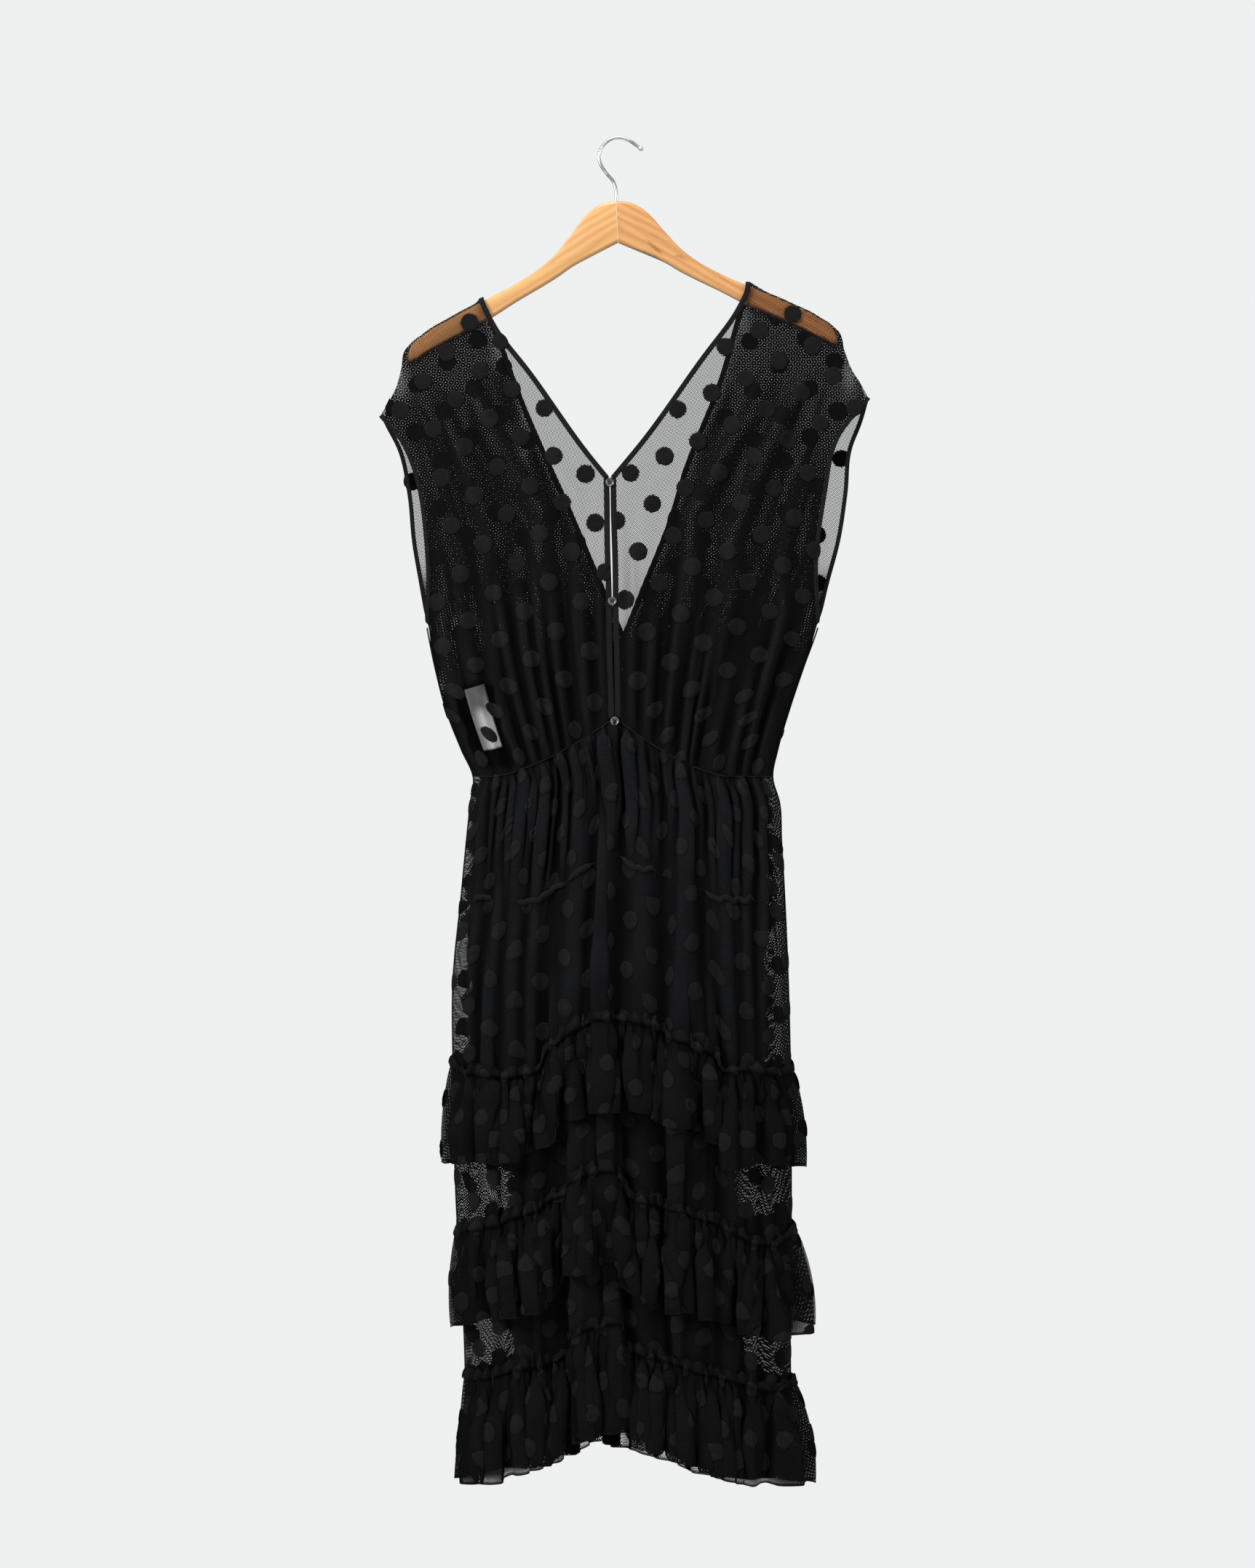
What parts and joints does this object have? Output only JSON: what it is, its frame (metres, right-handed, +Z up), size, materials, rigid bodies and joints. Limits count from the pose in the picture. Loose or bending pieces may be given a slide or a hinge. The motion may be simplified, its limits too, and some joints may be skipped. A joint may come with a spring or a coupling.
{
  "type": "ruffled dress on hanger",
  "caption": "Sleeveless black dotted-net dress with a V neck, buttoned front placket, gathered skirt and three ruffles, hung flat on a two-piece wooden hanger.",
  "frame": {"origin": "the point inside the top of the hanger's hook where a nail or rail bears on the wire", "axes": "X to the viewer's right as the buttoned front is seen, Y from front to back, Z up"},
  "size_m": [0.5071, 0.1077, 1.3879],
  "materials": {
    "black_net": "matte net with matte woven dots",
    "black_binding": "matte narrow bias tape",
    "pale_wood": "pale waxed hardwood",
    "brown_wood": "browner knotty waxed hardwood",
    "zinc_wire": "pale zinc-plated wire",
    "button_shell": "dark grey satin shell",
    "label_tape": "pale woven tape, bare"
  },
  "bodies": {
    "root": {"hanger_left": "pale_wood", "hanger_right": "brown_wood", "hook": "zinc_wire", "bodice_front_left": "black_net", "bodice_front_right": "black_net", "bodice_back": "black_net", "neck_binding_left": "black_binding", "neck_binding_right": "black_binding", "armhole_binding_left": "black_binding", "armhole_binding_right": "black_binding", "placket_left": "black_binding", "placket_right": "black_binding", "button_top": "button_shell", "button_middle": "button_shell", "button_waist": "button_shell", "care_label": "label_tape", "skirt_yoke_front": "black_net", "skirt_yoke_back": "black_net", "skirt_front": "black_net", "skirt_back": "black_net", "ruffle_top_front": "black_net", "ruffle_top_back": "black_net", "ruffle_middle_front": "black_net", "ruffle_middle_back": "black_net", "ruffle_bottom_front": "black_net", "ruffle_bottom_back": "black_net"}
  },
  "joints": []
}
